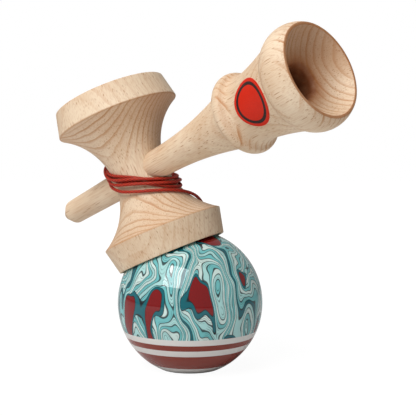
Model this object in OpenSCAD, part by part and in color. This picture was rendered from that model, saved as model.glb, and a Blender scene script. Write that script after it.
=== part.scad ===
// Kendama: a turned handle and cross-piece balanced on their ball, with the string wound about the waist.
// The ball stands on the rim of its hole. The centre of that rim, on the floor, is the origin, and +Z is up.

/* [Ball] */
// Diameter of the ball
ball_d = 60; // [54:1:66]
// Outer diameter of the flat ring that the ball stands on
foot_d = 24.6; // [24:0.2:28]
// Diameter of the hole that the spike goes into
hole_d = 21; // [16:0.5:22]
// Width of the bevel at the mouth of that hole
hole_bevel = 0.8; // [0.4:0.1:1.2]
// Height above the floor at which the hole's straight wall ends
hole_h = 30; // [24:1:31]
// Length of the cone that narrows the hole to the bead's pocket
hole_cone_l = 3; // [2:0.5:4]
// Thickness of wood between the bead's pocket and the top of the ball
top_wall = 12.4; // [10:0.2:14]
// Diameter of the string's hole through that wood
ball_string_hole_d = 3.2; // [2.4:0.2:5]

/* [Bead] */
// Diameter of the bead that stops the string inside the ball
bead_d = 11; // [9:0.5:12]
// Length of the bead between its flat ends
bead_h = 9.2; // [7:0.2:9.6]
// Diameter of the hole through the bead
bead_hole_d = 2.2; // [1.8:0.1:3]

/* [Cross-piece] */
// Diameter at the waist
waist_d = 22.8; // [21:0.2:25]
// Diameter at the ridge of the small cup, which sits on the ball
small_ridge_d = 51.4; // [49:0.2:54]
// Distance from the handle's axis to that ridge
small_ridge_h = 25.4; // [24:0.2:28]
// Outer diameter of the small cup's lip
small_lip_d = 46.4; // [45:0.2:48]
// Distance from the handle's axis to that lip
small_end = 35.9; // [34:0.1:38]
// Depth of the small cup
small_cup_depth = 13; // [12.4:0.2:15]
// Diameter at the ridge of the big cup
big_ridge_d = 52.6; // [50:0.2:56]
// Distance from the handle's axis to that ridge
big_ridge_h = 25.8; // [24:0.2:28]
// Outer diameter of the big cup's lip
big_lip_d = 48; // [46:0.2:50]
// Distance from the handle's axis to that lip
big_end = 35.8; // [34:0.1:38]
// Depth of the big cup
big_cup_depth = 13; // [10:0.2:15]
// Width of the flat lip of both cups
lip_w = 1.2; // [0.8:0.1:1.6]
// Width of the narrow land along both ridges
ridge_land = 0.4; // [0.2:0.1:1]
// Diameter of the string's hole in the waist
waist_string_hole_d = 2; // [1.6:0.1:2.6]

/* [Handle] */
// Distance from the cross-piece's axis to the tip of the spike
spike_reach = 57.3; // [52:0.1:62]
// Diameter of the spike's domed end
tip_d = 7.2; // [5:0.2:9]
// Radius of that dome
tip_dome_r = 9; // [6:0.5:12]
// Length of the bevelled tip
tip_l = 5; // [3:0.5:8]
// Diameter of the spike above its tip
spike_d = 10.8; // [10:0.1:11.4]
// Diameter of the handle where it leaves the cross-piece
grip_d = 12.4; // [11.6:0.1:13]
// Distance from the cross-piece's axis at which the handle starts to swell
grip_at = 15; // [13:0.5:20]
// Diameter of the handle where it meets the collar
handle_d = 24.8; // [22:0.2:25.6]
// Distance of the collar's crest from the cross-piece's axis
collar_at = 66.1; // [64:0.1:67]
// Diameter of the collar
collar_d = 32; // [29:0.2:36]
// Radius of the collar's rounded edge
collar_round = 3.1; // [2.8:0.1:3.6]
// Distance of the neck from the cross-piece's axis
neck_at = 67.1; // [66.5:0.1:68]
// Diameter of the neck
neck_d = 25.2; // [24:0.2:26]
// Distance at which the neck's flare ends
flare_at = 94.5; // [93.5:0.1:95.5]
// Diameter at the end of that flare
flare_d = 36.8; // [36:0.2:37.6]
// Radius of the flare's hollow curve
flare_round = 100; // [60:5:200]
// Distance of the base cup's fullest place from the cross-piece's axis
base_at = 98.5; // [97:0.1:99.5]
// Diameter of the base cup at its fullest
base_d = 40; // [38:0.2:43]
// Radius of the base cup's bulge
base_round = 10.6; // [9.6:0.2:12]
// Distance of the base cup's rim from the cross-piece's axis
ken_end = 104.7; // [103:0.1:106]
// Width of the base cup's rim
base_lip_w = 0.9; // [0.6:0.1:1.6]
// Depth of the base cup's bowl, as if it had no throat
base_cup_depth = 11.6; // [9:0.2:14]
// Diameter of the throat in the bowl
throat_d = 13; // [10:0.2:16]
// Depth of the throat's wall below the rim
throat_depth = 22; // [16:0.5:28]
// Length of the throat's pointed end
throat_point = 3; // [1:0.5:5]
// Radius of the throat's rolled mouth
throat_round = 2.4; // [1:0.1:3]

/* [Label] */
// Diameter of the plain round sticker on the flare
label_d = 16.8; // [12:0.2:18]
// Distance of its edge from the line where the flare meets the base cup's bulge
label_edge = 1.1; // [0.4:0.1:2.4]
// Turn of the sticker about the handle, away from the front
label_turn = 3; // [-40:1:40]
// Thickness of the sticker
label_t = 0.15; // [0.1:0.01:0.3]

/* [String] */
// Diameter of the string
string_d = 1.2; // [1:0.05:1.25]
// Number of turns about the waist
wind_turns = 4.44; // [4.4:0.01:4.46]
// Gap between neighbouring turns of the inner layer
row_gap = 0.74; // [0.7:0.02:0.8]
// Gap between the inner and the outer layer
layer_gap = 0.55; // [0.5:0.05:0.6]
// Diameter of the knot that holds the string in the waist
waist_knot_d = 3.4; // [2.6:0.1:3.6]
// Diameter of the knot under the bead
bead_knot_d = 4; // [3.2:0.1:5]

/* [Pose] */
// Lean of the cross-piece away from upright, in degrees
lean = 23.1; // [0:0.1:30]
// Direction that it leans in, in degrees from +X
heading = 162.5; // [0:0.5:360]
// Turn of the handle about the cross-piece's axis, in degrees
ken_turn = 152.8; // [140:0.1:165]

/* [Fits] */
// Clearance between the handle and its tapered bore
ken_play = 0.05; // [0.02:0.01:0.1]
// Clearance about the bead in its pocket
bead_play = 0.35; // [0.2:0.05:0.6]
// Clearance about a knot
knot_play = 0.4; // [0.2:0.05:0.6]
// Least clearance between the small cup's lip and the ball
lip_play = 0.3; // [0.2:0.05:0.4]
// Room left beside the string where it passes under that lip
string_play = 0.25; // [0.2:0.05:0.4]
// Clearance between the winding and the wood under it
wind_play = 0.2; // [0.15:0.05:0.3]
// Clearance between the sticker and the wood under it
label_play = 0.02; // [0.01:0.01:0.05]

/* [Hidden] */
$fn = 96;
over = 1;
wood_color = "BurlyWood";
string_color = "FireBrick";

ball_r = ball_d / 2;
hole_r = hole_d / 2;
string_r = string_d / 2;
bead_r = bead_d / 2;
waist_r = waist_d / 2;

// Height of the ball's centre above the ring that it stands on
ball_z = sqrt(pow(ball_r, 2) - pow(foot_d / 2, 2));
ball_top = ball_z + ball_r;
pocket_r = bead_r + bead_play;
pocket_top = ball_top - top_wall;
bead_top = pocket_top - bead_play;
bead_bottom = bead_top - bead_h;
// A knot's ball is cut to a flat of the string's own size, which the string's end meets
function knot_flat(d) = sqrt(pow(d / 2, 2) - pow(string_r, 2));
// The knot under the bead bears on the edge of the bead's hole
bead_knot_z = bead_bottom - sqrt(pow(bead_knot_d / 2, 2) - pow(bead_hole_d / 2, 2)) - knot_play / 2;
// Height by which the string stands straight up out of the ball's top
string_out = 0.2;

// Radius of a hollow or a bulge of half width a and height h
function arc_radius(a, h) = (a * a + h * h) / (2 * h);
small_groove = arc_radius(small_ridge_h - ridge_land, small_ridge_d / 2 - waist_r);
big_groove = arc_radius(big_ridge_h - ridge_land, big_ridge_d / 2 - waist_r);
small_mouth = small_lip_d / 2 - lip_w;
big_mouth = big_lip_d / 2 - lip_w;
small_bowl = arc_radius(small_mouth, small_cup_depth);
big_bowl = arc_radius(big_mouth, big_cup_depth);
// Radius of the cross-piece's waist at height z from the handle's axis
function groove(z) = z < 0 ? small_groove : big_groove;
function waist_at(z) = waist_r + groove(z) - sqrt(pow(groove(z), 2) - z * z);

// The small cup rests on the ball and on the string, so it sits a little to the string's side
lip_room = string_d + string_play;
seat_gap = (lip_room + lip_play) / 2;
seat_shift = (lip_room - lip_play) / 2 * (ball_r + seat_gap) / small_mouth;
seat_h = sqrt(pow(ball_r + seat_gap, 2) - pow(small_mouth, 2)) + small_end;
// The ball's centre and its upward direction, seen from the cross-piece
ball_seen = [0, -seat_shift, -seat_h];
up_seen = [-sin(lean) * cos(ken_turn), sin(lean) * sin(ken_turn), cos(lean)];

// The spike and the grip are one long taper, which the bore of the cross-piece repeats
tip_at = tip_l - spike_reach;
function taper(t) = spike_d / 2 + (grip_d - spike_d) / 2 * (t - tip_at) / (grip_at - tip_at);
swell_l = collar_at - collar_round - grip_at;
swell_r = arc_radius(swell_l, (handle_d - grip_d) / 2);
neck = [neck_d / 2, neck_at];
flare = [flare_d / 2, flare_at];
flare_chord = flare - neck;
flare_out = [flare_chord[1], -flare_chord[0]] / norm(flare_chord);
flare_centre = (neck + flare) / 2 + flare_out * sqrt(pow(flare_round, 2) - pow(norm(flare_chord) / 2, 2));
bulge_x = base_d / 2 - base_round;
rim_r = bulge_x + sqrt(pow(base_round, 2) - pow(ken_end - base_at, 2));
base_mouth = rim_r - base_lip_w;
base_bowl = arc_radius(base_mouth, base_cup_depth);
bowl_y = ken_end - base_cup_depth + base_bowl;
// Line on which the flare's circle meets the bulge's circle, and the sticker's place short of it
bulge = [bulge_x, base_at];
bulge_far = norm(bulge - flare_centre);
bulge_way = (bulge - flare_centre) / bulge_far;
bulge_chord = (pow(flare_round, 2) - pow(base_round, 2) + pow(bulge_far, 2)) / (2 * bulge_far);
flare_end = flare_centre + bulge_chord * bulge_way
            + sqrt(max(pow(flare_round, 2) - pow(bulge_chord, 2), 0)) * [-bulge_way[1], bulge_way[0]];
label_at = min(flare_end[1], flare_at) - label_edge - label_d / 2;
throat_r = throat_d / 2;
throat_end = ken_end - throat_depth;
// The throat's rolled mouth touches both the throat's wall and the bowl
roll_x = throat_r + throat_round;
roll_y = bowl_y - sqrt(pow(base_bowl + throat_round, 2) - pow(roll_x, 2));
roll_top = [roll_x, roll_y] + throat_round * [-roll_x, bowl_y - roll_y] / (base_bowl + throat_round);

// Winding: a loop's height is a constant and the waves of one, two and three times its angle from the handle,
// each as a cosine and a sine. Every loop passes under the handle and over the spike. The outer loops are
// tilted another way, so they cross the inner ones.
wind_from = 96;
loop_steps = 24;
inner_loop = [-1.98, -9.2, -1.22, 0.14, -1.56, -0.18, -0.13];
outer_loop = [-0.18, -8.18, 0.19, 1.1, -1.32, -0.46, 0.23];
// Offset of the first inner and the first outer row, and how far the outer rows come down in a turn
inner_row = -1;
outer_row = 1.3;
outer_drop = 1.8;
// Turns between which the string climbs to the outer layer
climb_from = 1.9;
climb_to = 2.25;
// Loops lean, so neighbours are set further apart on the flanks than under the handle
flank = 0.7;

function ease(x) = let(c = min(max(x, 0), 1)) c * c * (3 - 2 * c);
function mix(a, b, x) = a + (b - a) * x;
function wave(c, a) =
    c[0] + c[1] * cos(a) + c[2] * sin(a) + c[3] * cos(2 * a) + c[4] * sin(2 * a) + c[5] * cos(3 * a)
    + c[6] * sin(3 * a);
function loop_height(a, x) = mix(wave(inner_loop, a), wave(outer_loop, a), x);
function loop_row(f, x) =
    mix(inner_row + (string_d + row_gap) * f, outer_row - outer_drop * (f - climb_to), x);
function wind_point(f) =
    let(a = wind_from + 360 * f,
        x = ease((f - climb_from) / (climb_to - climb_from)),
        z = loop_height(a, x) + loop_row(f, x) * sqrt(1 + pow(flank * sin(a), 2)),
        r = waist_at(z) + wind_play + string_r + x * (string_d + layer_gap))
    [r * cos(a), r * sin(a), z];
wind_rings = floor(wind_turns * loop_steps);
wind_loops = [for (i = [0 : wind_rings]) wind_point(i * wind_turns / wind_rings)];
wind_in = unit(wind_loops[1] - wind_loops[0]);
wind_out = unit(wind_loops[wind_rings] - wind_loops[wind_rings - 1]);
wind_first = wind_loops[0] - string_d * wind_in;
wind_last = wind_loops[wind_rings] + string_d * wind_out;
wind_route = concat([wind_first], wind_loops, [wind_last]);

// Anchor: from the knot, out through the waist and round to the first loop
anchor_x = 1;
anchor_z = -5.4;
knot_face = waist_r - 2.1;
anchor_route = [[anchor_x, knot_face, anchor_z], [anchor_x, waist_r - 0.5, anchor_z],
                [0.7, waist_r + 0.6, -5.3], [0.2, waist_r + 1.1, -4.6], wind_first];
waist_knot_y = knot_face - knot_flat(waist_knot_d);

// Lead: from the last loop down the front of the waist, over the ridge, under the lip and over to the
// ball's top
lead_end = ball_seen + (ball_r + string_out) * up_seen;
lead_route = [wind_last, [1, -14.1, -5.5], [5.7, -12.8, -7.4], [9.8, -10.1, -9.1], [12.7, -6.8, -10.5],
              [14.8, -2.6, -12], [15.6, 2.2, -13.5], [15.1, 7, -15.1], [13.5, 11.7, -16.9],
              [10.9, 16.1, -18.9], [7.4, 20.3, -21.1], [4.2, 24, -22.7], [1.8, 26.4, -24.3],
              [0.2, 27.2, -26], [-0.5, 27.1, -28.3], [-0.9, 26.8, -30.8], [-0.9, 26.5, -33.5],
              [-0.9, 26.3, -36], [-0.7, 25.9, -37.3], [-0.4, 25.1, -38.1], [0, 24.1, -38.3],
              [0, 23.3, -38.1], [-0.1, 22.5, -37.5], [0.2, 21.5, -36.4], [1.3, 19.6, -34.4],
              [3.3, 16.9, -32.2], [5.4, 13.9, -30.4], [7.3, 11.1, -28.9], [9.2, 8.7, -27.9],
              [10.4, 6.9, -27.6], [10.9, 5.6, -27.9], lead_end + string_d * up_seen, lead_end];

// Sweep of a round tube along a route, with its end faces square to the given directions
function unit(v) = v / norm(v);
function square_to(v, t) = unit(v - (v * t) * t);
function headings(p, first, last) =
    [for (i = [0 : len(p) - 1]) i == 0 ? first : i == len(p) - 1 ? last : unit(p[i + 1] - p[i - 1])];
function carried(t, v) =
    [for (i = 0, n = square_to(v, t[0]); i < len(t); i = i + 1, n = square_to(n, t[min(i, len(t) - 1)])) n];
module tube(p, sides, first, last) {
    t = headings(p, first, last);
    n = carried(t, abs(first[2]) < 0.9 ? [0, 0, 1] : [1, 0, 0]);
    points = [for (i = [0 : len(p) - 1]) let(u = square_to(n[i], t[i]), v = cross(t[i], u))
              for (j = [0 : sides - 1]) let(a = 360 * j / sides) p[i] + string_r * (cos(a) * u + sin(a) * v)];
    walls = [for (i = [0 : len(p) - 2], j = [0 : sides - 1])
             let(a = i * sides + j, b = i * sides + (j + 1) % sides)
             each [[a, a + sides, b], [b, a + sides, b + sides]]];
    end = (len(p) - 1) * sides;
    caps = [for (j = [1 : sides - 2]) each [[0, j, j + 1], [end, end + j + 1, end + j]]];
    polyhedron(points, concat(walls, caps));
}

// Measures printed for the string: the winding's least gap to itself, and the string's whole length
function route_length(p) = [for (i = [1 : len(p) - 1]) norm(p[i] - p[i - 1])] * [for (i = [1 : len(p) - 1]) 1];
half_loop = loop_steps / 2;
winding_gap = min([for (i = [0 : wind_rings - half_loop], j = [i + half_loop : wind_rings])
                   norm(wind_loops[i] - wind_loops[j])]) - string_d;
in_tama_l = ball_top + string_out - bead_knot_z - knot_flat(bead_knot_d);
string_l = route_length(anchor_route) + route_length(wind_route) + route_length(lead_route) + in_tama_l;
echo(winding_gap = winding_gap, string_length = string_l);

// Puts the cross-piece's frame, with the handle along X and its own axis along Z, on the ball
module on_ball() {
    translate([0, 0, ball_z])
        rotate([0, lean, heading])
            rotate([0, 0, ken_turn])
                translate([0, seat_shift, seat_h])
                    children();
}

// Turns a lathe profile, drawn with its radius along X, and keeps only the side beyond the axis
module lathe(low, high, r) {
    rotate_extrude()
        intersection() {
            children();
            translate([0, low])
                square([r, high - low]);
        }
}

module disc(x, y, r) {
    translate([x, y])
        circle(r);
}

module tama() {
    color("PowderBlue")
        lathe(0, ball_top, ball_r)
            difference() {
                disc(0, ball_z, ball_r);
                polygon([[-over, -over], [hole_r + hole_bevel + over, -over], [hole_r, hole_bevel],
                         [hole_r, hole_h], [pocket_r, hole_h + hole_cone_l], [pocket_r, pocket_top],
                         [ball_string_hole_d / 2, pocket_top], [ball_string_hole_d / 2, ball_top + over],
                         [-over, ball_top + over]]);
            }
}

module bead() {
    color("Peru")
        lathe(bead_bottom, bead_top, bead_r)
            difference() {
                disc(0, bead_bottom + bead_h / 2, bead_r);
                translate([-over, bead_bottom - over])
                    square([over + bead_hole_d / 2, bead_h + 2 * over]);
            }
}

module knot(d) {
    intersection() {
        sphere(d = d);
        translate([0, 0, knot_flat(d) - d])
            cylinder(d = 2 * d, h = d);
    }
}

module bead_knot() {
    color(string_color)
        translate([0, 0, bead_knot_z])
            knot(bead_knot_d);
}

module string_in_tama() {
    color(string_color)
        translate([0, 0, bead_knot_z + knot_flat(bead_knot_d)])
            cylinder(d = string_d, h = in_tama_l);
}

module cross_profile() {
    reach = max(small_ridge_d, big_ridge_d);
    difference() {
        polygon([[-over, -small_end], [small_lip_d / 2, -small_end], [small_ridge_d / 2, -small_ridge_h],
                 [small_ridge_d / 2, 0], [big_ridge_d / 2, 0], [big_ridge_d / 2, big_ridge_h],
                 [big_lip_d / 2, big_end], [-over, big_end]]);
        intersection() {
            disc(waist_r + small_groove, 0, small_groove);
            translate([0, -small_end])
                square([reach, small_end]);
        }
        intersection() {
            disc(waist_r + big_groove, 0, big_groove);
            square([reach, big_end]);
        }
        disc(0, small_cup_depth - small_end - small_bowl, small_bowl);
        disc(0, big_end - big_cup_depth + big_bowl, big_bowl);
    }
}

module sarado() {
    pocket_y = knot_face + knot_play / 2;
    flared_r = waist_string_hole_d / 2 + 1.5;
    flared_l = 1.6;
    color(wood_color)
        on_ball()
            difference() {
                lathe(-small_end, big_end, max(small_ridge_d, big_ridge_d))
                    cross_profile();
                translate([-waist_d, 0, 0])
                    rotate([0, 90, 0])
                        cylinder(r1 = taper(-waist_d) + ken_play, r2 = taper(waist_d) + ken_play,
                                 h = 2 * waist_d);
                translate([anchor_x, 0, anchor_z])
                    rotate([-90, 0, 0]) {
                        cylinder(d = waist_string_hole_d, h = waist_d);
                        cylinder(d = waist_knot_d + 2 * knot_play, h = pocket_y);
                        translate([0, 0, waist_at(anchor_z) - flared_l])
                            cylinder(r1 = waist_string_hole_d / 2, r2 = flared_r, h = flared_l);
                    }
            }
}

module waist_knot() {
    color(string_color)
        on_ball()
            translate([anchor_x, waist_knot_y, anchor_z])
                rotate([-90, 0, 0])
                    knot(waist_knot_d);
}

module string_anchor() {
    color(string_color)
        on_ball()
            tube(anchor_route, 8, [0, 1, 0], wind_in);
}

module string_winding() {
    color(string_color)
        on_ball()
            tube(wind_route, 6, wind_in, wind_out);
}

module string_lead() {
    color(string_color)
        on_ball()
            tube(lead_route, 8, wind_out, -up_seen);
}

module handle_profile() {
    difference() {
        union() {
            // Spike, tip and grip
            intersection() {
                polygon([[-over, -spike_reach], [tip_d / 2, -spike_reach + over / 2], [spike_d / 2, tip_at],
                         [grip_d / 2, grip_at], [grip_d / 2, collar_at], [-over, collar_at]]);
                union() {
                    disc(0, tip_dome_r - spike_reach, tip_dome_r);
                    translate([-over, tip_dome_r - spike_reach])
                        square([base_d, spike_reach + ken_end]);
                }
            }
            // Swell of the handle towards the collar
            difference() {
                translate([-over, grip_at])
                    square([over + handle_d / 2, collar_at - grip_at]);
                disc(grip_d / 2 + swell_r, grip_at, swell_r);
            }
            disc(collar_d / 2 - collar_round, collar_at, collar_round);
            // Flare from the neck to the base cup
            difference() {
                polygon([[-over, collar_at], [neck[0], collar_at], neck, flare, [flare[0], base_at],
                         [-over, base_at]]);
                disc(flare_centre[0], flare_centre[1], flare_round);
            }
            intersection() {
                disc(bulge_x, base_at, base_round);
                translate([-over, 0])
                    square([over + base_d, ken_end]);
            }
            translate([-over, base_at])
                square([over + rim_r, ken_end - base_at]);
        }
        disc(0, bowl_y, base_bowl);
        difference() {
            polygon([[-over, roll_y], [roll_x, roll_y], roll_top, [-over, roll_top[1]]]);
            disc(roll_x, roll_y, throat_round);
        }
        polygon([[-over, throat_end - throat_point], [0, throat_end - throat_point], [throat_r, throat_end],
                 [throat_r, roll_y + over / 10], [-over, roll_y + over / 10]]);
    }
}

module ken() {
    color(wood_color)
        on_ball()
            rotate([0, 90, 0])
                lathe(-spike_reach, ken_end, base_d)
                    handle_profile();
}

module label() {
    shell = flare_round - label_play;
    color("Crimson")
        on_ball()
            rotate([label_turn, 0, 0])
                intersection() {
                    rotate([0, 90, 0])
                        lathe(neck_at, flare_at, base_d / 2)
                            difference() {
                                disc(flare_centre[0], flare_centre[1], shell);
                                disc(flare_centre[0], flare_centre[1], shell - label_t);
                            }
                    translate([label_at, 0, 0])
                        rotate([90, 0, 0])
                            cylinder(d = label_d, h = base_d);
                }
}

tama();
bead();
bead_knot();
string_in_tama();
sarado();
waist_knot();
string_anchor();
string_winding();
string_lead();
ken();
label();
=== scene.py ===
"""Looks of a kendama: its lacquered ball, turned beech cross-piece and handle, wound string and sticker.

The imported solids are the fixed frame. Lengths here are millimetres until a mesh is made, and then metres.
The cross-piece's own frame has the handle along X, the string's hole on the +Y side and the lathe's axis on Z.
"""

from functools import reduce
from itertools import accumulate
from math import degrees, pi, radians, sqrt

import bmesh
import bpy
import numpy as np
from mathutils import Matrix, Vector


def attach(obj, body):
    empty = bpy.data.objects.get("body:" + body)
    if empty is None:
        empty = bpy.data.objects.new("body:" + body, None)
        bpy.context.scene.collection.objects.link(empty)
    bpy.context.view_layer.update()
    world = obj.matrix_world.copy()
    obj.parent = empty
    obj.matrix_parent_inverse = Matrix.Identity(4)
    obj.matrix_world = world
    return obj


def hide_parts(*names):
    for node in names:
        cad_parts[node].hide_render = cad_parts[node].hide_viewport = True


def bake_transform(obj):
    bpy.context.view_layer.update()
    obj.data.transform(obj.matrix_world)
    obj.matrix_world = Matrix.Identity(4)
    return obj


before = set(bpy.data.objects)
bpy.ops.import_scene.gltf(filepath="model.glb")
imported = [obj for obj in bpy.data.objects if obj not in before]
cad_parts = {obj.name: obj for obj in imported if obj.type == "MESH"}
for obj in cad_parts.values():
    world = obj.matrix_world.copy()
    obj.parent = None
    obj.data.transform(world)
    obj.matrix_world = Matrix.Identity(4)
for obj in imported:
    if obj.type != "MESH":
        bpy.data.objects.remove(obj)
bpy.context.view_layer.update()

bl_info = {
    "name": "Kendama",
    "version": (1, 0, 0),
    "blender": (4, 5, 0),
    "location": "View3D > Sidebar > Kendama",
    "description": "Dresses the solids of a kendama with turned wood, lacquer and cord",
    "category": "Object",
}

MM = 0.001


def tone(red, green, blue):
    """Linear colour of a display colour given from 0 to 255."""
    c = np.array([red, green, blue]) / 255
    return tuple(float(v) for v in np.where(c <= 0.04045, c / 12.92, ((c + 0.055) / 1.055) ** 2.4))


def length(name, default, description):
    """Property for a length, given here in millimetres and kept in metres."""
    return bpy.props.FloatProperty(
        name=name, description=description, default=default * MM, min=0, subtype="DISTANCE"
    )


def angle(name, default, description):
    """Property for an angle, given here in degrees and kept in radians."""
    return bpy.props.FloatProperty(
        name=name, description=description, default=radians(default), subtype="ANGLE"
    )


def paint(name, default, description):
    """Property for a linear colour."""
    return bpy.props.FloatVectorProperty(
        name=name, description=description, default=default, subtype="COLOR", min=0, max=1
    )


# Settings


class BallSettings(bpy.types.PropertyGroup):
    diameter: length("Diameter", 60, "Diameter of the ball")
    foot_d: length("Foot ring", 24.6, "Outer diameter of the ring that the ball stands on")
    hole_d: length("Spike hole", 21, "Diameter of the hole for the spike")
    bevel: length("Bevel", 0.8, "Width of the bevel at that hole's mouth")
    hole_h: length("Hole height", 30, "Height at which the hole's straight wall ends")
    cone_l: length("Cone", 3, "Length of the cone above that wall")
    pocket_d: length("Pocket", 11.7, "Diameter of the bead's pocket")
    top_wall: length("Top wall", 12.4, "Wood between the pocket and the ball's top")
    string_hole_d: length("String hole", 3.2, "Diameter of the string's hole at the top")
    pale: paint("Pale aqua", tone(168, 214, 212), "Widest bands of the marbling")
    aqua: paint("Aqua", tone(112, 188, 190), "Second bands of the marbling")
    mist: paint("Mist", tone(202, 224, 219), "Lightest bands of the marbling")
    teal: paint("Teal", tone(14, 98, 108), "Bands round the islands")
    island: paint("Island red", tone(124, 14, 16), "Islands of the marbling")
    ink: paint("Ink", tone(24, 34, 38), "Thin lines of the marbling")
    white: paint("Stripe white", tone(222, 219, 215), "Pale stripes round the foot")
    stripe: paint("Stripe red", tone(132, 48, 32), "Dark stripes round the foot")


class BeadSettings(bpy.types.PropertyGroup):
    diameter: length("Diameter", 11, "Diameter of the bead")
    height: length("Height", 9.2, "Length of the bead between its flat ends")
    hole_d: length("Hole", 2.2, "Diameter of the bead's hole")
    play: length("Play", 0.35, "Clearance between the bead and its pocket")
    stain: paint("Stain", tone(150, 98, 58), "Colour of the bead")


class CrossSettings(bpy.types.PropertyGroup):
    waist_d: length("Waist", 22.8, "Diameter at the waist")
    small_ridge_d: length("Small ridge", 51.4, "Diameter at the small cup's ridge")
    small_ridge_h: length("Small ridge height", 25.2, "Distance of that ridge from the handle's axis")
    small_lip_d: length("Small lip", 46.4, "Outer diameter of the small cup's lip")
    small_end: length("Small end", 35.9, "Distance of that lip from the handle's axis")
    big_ridge_d: length("Big ridge", 52.6, "Diameter at the big cup's ridge")
    big_ridge_h: length("Big ridge height", 25.6, "Distance of that ridge from the handle's axis")
    big_lip_d: length("Big lip", 48, "Outer diameter of the big cup's lip")
    big_end: length("Big end", 35.8, "Distance of that lip from the handle's axis")
    cup_depth: length("Cup depth", 13, "Depth of both cups")
    lip_w: length("Lip", 1.2, "Width of both lips")
    string_hole_d: length("String hole", 2, "Diameter of the string's hole in the waist")
    lean: angle("Lean", 23.1, "Lean away from upright")
    heading: angle("Heading", 162.5, "Direction of the lean, from +X")
    ken_turn: angle("Handle turn", 152.8, "Turn of the handle about the cross-piece's axis")
    lip_play: length("Lip play", 0.3, "Least clearance between the small lip and the ball")
    lip_room: length("String room", 1.45, "Room for the string under that lip")


class HandleSettings(bpy.types.PropertyGroup):
    spike_reach: length("Spike reach", 56.2, "Distance from the crossing to the spike's tip")
    dome_r: length("Dome", 4, "Radius of the tip's dome")
    tip_d: length("Tip", 5, "Diameter of the tip's domed end")
    tip_l: length("Tip length", 5.8, "Length of the bevelled tip")
    spike_d: length("Spike", 10.8, "Diameter above the tip")
    grip_d: length("Grip", 12.4, "Diameter where the swell starts")
    grip_at: length("Grip place", 15, "Distance of that place from the crossing")
    handle_d: length("Handle", 24.8, "Diameter where the handle meets the collar")
    collar_at: length("Collar place", 66.1, "Distance of the collar's crest from the crossing")
    collar_d: length("Collar", 32, "Diameter of the collar")
    collar_round: length("Collar round", 3.1, "Radius of the collar's edge")
    neck_at: length("Neck place", 67.1, "Distance of the neck from the crossing")
    neck_d: length("Neck", 25.2, "Diameter of the neck")
    flare_at: length("Flare place", 94.5, "Distance at which the flare ends")
    flare_d: length("Flare", 36.8, "Diameter at the end of the flare")
    flare_round: length("Flare round", 100, "Radius of the flare's hollow")
    base_at: length("Base place", 98.5, "Distance of the base cup's fullest place")
    base_d: length("Base cup", 40, "Diameter of the base cup at its fullest")
    base_round: length("Base round", 10.6, "Radius of the base cup's bulge")
    end: length("End", 104.7, "Distance of the base cup's rim from the crossing")
    lip_w: length("Rim", 0.9, "Width of the base cup's rim")
    cup_depth: length("Bowl depth", 11.6, "Depth of the bowl as if it had no throat")
    throat_d: length("Throat", 13, "Diameter of the throat")
    throat_depth: length("Throat depth", 22, "Depth of the throat's wall below the rim")
    throat_point: length("Throat point", 3, "Length of the throat's pointed end")
    throat_round: length("Throat round", 2.4, "Radius of the throat's rolled mouth")
    play: length("Play", 0.05, "Clearance of the handle in its bore")
    label_d: length("Sticker", 17.6, "Diameter of the sticker")
    label_at: length("Sticker place", 82, "Distance of its centre from the crossing")
    label_turn: angle("Sticker turn", 3, "Turn of the sticker about the handle")
    label_t: length("Sticker thickness", 0.15, "Thickness of the sticker")
    label_red: paint("Sticker red", tone(212, 36, 8), "Colour of the sticker")
    label_ring: paint("Sticker ring", tone(44, 30, 28), "Colour of the line round the sticker")


class StringSettings(bpy.types.PropertyGroup):
    diameter: length("Diameter", 1.3, "Diameter of the string")
    turns: bpy.props.FloatProperty(name="Turns", description="Turns about the waist", default=4.44, min=0)
    red: paint("Red", tone(196, 56, 34), "Colour of the string")
    # Painted shade in the hollows between the plaits
    shade: paint("Shade", tone(116, 22, 13), "Colour between the string's plaits")


class WoodSettings(bpy.types.PropertyGroup):
    light: paint("Light", tone(232, 210, 182), "Early wood")
    deep: paint("Deep", tone(219, 191, 160), "Broad darker zones")
    # Late wood's colour also paints the shade line along the cross-piece's ridges
    late: paint("Late", tone(186, 127, 76), "Lines of late wood")
    fleck: paint("Fleck", tone(164, 106, 62), "Short flecks along the grain")
    scorch: paint("Scorch", tone(132, 68, 30), "Burnt wood in the throat")
    # Amber also paints the shade on the right of the big cup's flare and on the bowl's upper wall
    amber: paint("Amber", tone(176, 112, 62), "Edge of the burnt wood")


class StageSettings(bpy.types.PropertyGroup):
    lens: bpy.props.FloatProperty(
        name="Lens", description="Focal length", default=80.78, unit="CAMERA"
    )
    tilt: angle("Tilt", 87.31, "Turn of the camera up from straight down")
    eye: bpy.props.FloatVectorProperty(
        name="Eye",
        description="Place of the camera",
        default=(0.00739, -0.38588, 0.08455),
        subtype="XYZ",
        unit="LENGTH",
    )


def group(name, kind, description):
    """Property for a group of settings."""
    return bpy.props.PointerProperty(name=name, description=description, type=kind)


class KendamaSettings(bpy.types.PropertyGroup):
    ball: group("Ball", BallSettings, "Sizes and colours of the ball")
    bead: group("Bead", BeadSettings, "Sizes and colour of the bead")
    cross: group("Cross-piece", CrossSettings, "Sizes and place of the cross-piece")
    handle: group("Handle", HandleSettings, "Sizes of the handle and its sticker")
    cord: group("String", StringSettings, "Size and colours of the string")
    wood: group("Wood", WoodSettings, "Colours of the beech")
    stage: group("Stage", StageSettings, "Camera")


class Values:
    """A settings group as plain values: lengths in millimetres, angles in degrees and colours as tuples."""

    def __init__(self, settings_group):
        for key in type(settings_group).__annotations__:
            kind = settings_group.bl_rna.properties[key]
            value = getattr(settings_group, key)
            if kind.type == "POINTER":
                value = Values(value)
            elif kind.is_array:
                value = tuple(value)
            elif kind.subtype == "DISTANCE":
                value = round(value / MM, 4)
            elif kind.subtype == "ANGLE":
                value = round(degrees(value), 4)
            setattr(self, key, value)


def settings():
    """Settings of the open scene."""
    return Values(bpy.context.scene.kendama)


# Places


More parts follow.
